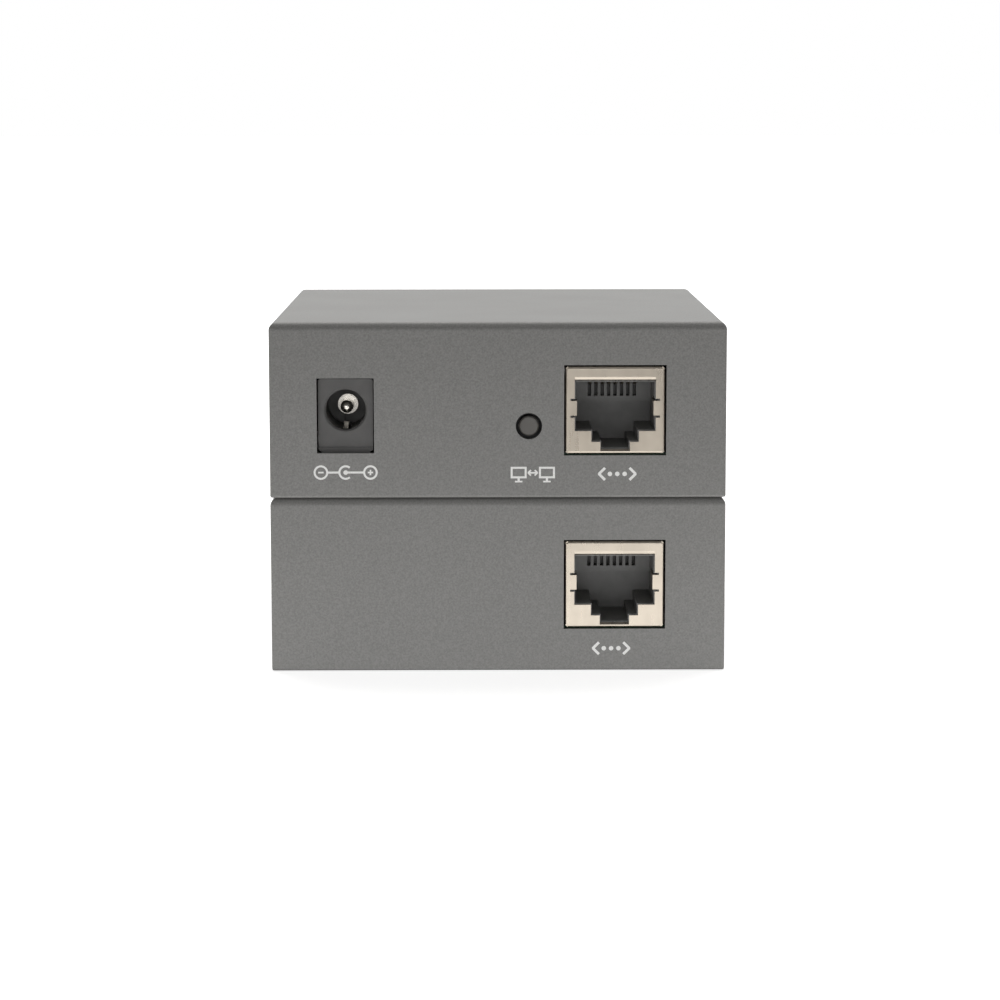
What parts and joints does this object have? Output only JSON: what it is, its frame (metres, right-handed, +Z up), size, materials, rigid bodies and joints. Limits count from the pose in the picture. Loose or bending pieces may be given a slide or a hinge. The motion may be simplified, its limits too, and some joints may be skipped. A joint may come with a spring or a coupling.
{
  "type": "hdmi extender",
  "caption": "Pair of stacked grey folded-steel boxes, sender on receiver, that carry a video signal along a network lead; with power socket and set-up button.",
  "frame": {"origin": "middle of the underside of the stacked pair, in the plane of the receiver's base", "axes": "+Z up; the network sockets face -Y and the video sockets face +Y; +X is to the right of someone who looks at the network sockets"},
  "size_m": [0.071, 0.075, 0.0548],
  "materials": {
    "case_paint": "fine matt powder coat",
    "screw_steel": "plain zinc plate",
    "plated_steel": "bright tin plate",
    "board": "solder resist over glass-fibre laminate",
    "socket_can": "stamped, nickel plated",
    "socket_plastic": "moulded, fine matt",
    "contact_metal": "thin gold flash",
    "lamp_resin": "clear moulded",
    "chip_resin": "moulded, fine matt",
    "pad_rubber": "soft, matt",
    "sink_metal": "extruded, plain",
    "can_metal": "drawn, satin",
    "ferrite": "pressed, matt",
    "power_plastic": "moulded, fine matt",
    "button_plastic": "moulded, fine matt"
  },
  "bodies": {
    "receiver": {"rx_shell": "case_paint", "rx_base_plate": "case_paint", "rx_case_screws": "screw_steel", "rx_pillars": "plated_steel", "rx_board_screws": "screw_steel", "rx_circuit_board": "board", "rx_network_shield": "socket_can", "rx_network_insert": "socket_plastic", "rx_network_contacts": "contact_metal", "rx_video_shell": "socket_can", "rx_video_insert": "socket_plastic", "rx_video_contacts": "contact_metal", "rx_remote_body": "socket_plastic", "rx_remote_springs": "plated_steel", "rx_lamps": "lamp_resin", "rx_lamp_leads": "plated_steel", "rx_main_chip": "chip_resin", "rx_thermal_pad": "pad_rubber", "rx_heat_sink": "sink_metal", "rx_transformer": "chip_resin", "rx_capacitors": "can_metal", "rx_inductors": "ferrite", "rx_crystal": "plated_steel", "rx_small_parts": "chip_resin"},
    "transmitter": {"tx_shell": "case_paint", "tx_base_plate": "case_paint", "tx_case_screws": "screw_steel", "tx_pillars": "plated_steel", "tx_board_screws": "screw_steel", "tx_circuit_board": "board", "tx_network_shield": "socket_can", "tx_network_insert": "socket_plastic", "tx_network_contacts": "contact_metal", "tx_power_housing": "power_plastic", "tx_power_pin": "plated_steel", "tx_power_spring": "plated_steel", "tx_switch_body": "socket_plastic", "tx_switch_cover": "plated_steel", "tx_switch_dome": "plated_steel", "tx_video_shell": "socket_can", "tx_video_insert": "socket_plastic", "tx_video_contacts": "contact_metal", "tx_loop_shell": "socket_can", "tx_loop_insert": "socket_plastic", "tx_loop_contacts": "contact_metal", "tx_remote_body": "socket_plastic", "tx_remote_springs": "plated_steel", "tx_lamps": "lamp_resin", "tx_lamp_leads": "plated_steel", "tx_main_chip": "chip_resin", "tx_thermal_pad": "pad_rubber", "tx_heat_sink": "sink_metal", "tx_transformer": "chip_resin", "tx_capacitors": "can_metal", "tx_inductors": "ferrite", "tx_crystal": "plated_steel", "tx_small_parts": "chip_resin"},
    "setup_button": {"tx_button": "button_plastic"}
  },
  "joints": [
    {"name": "transmitter_lift", "type": "slide", "parent": "receiver", "child": "transmitter", "axis": [0, 0, 1], "range_m": [0, 0.06]},
    {"name": "setup_button_press", "type": "slide", "parent": "transmitter", "child": "setup_button", "axis": [0, 1, 0], "range_m": [0, 0.0003], "stiffness_N_per_m": 300}
  ]
}
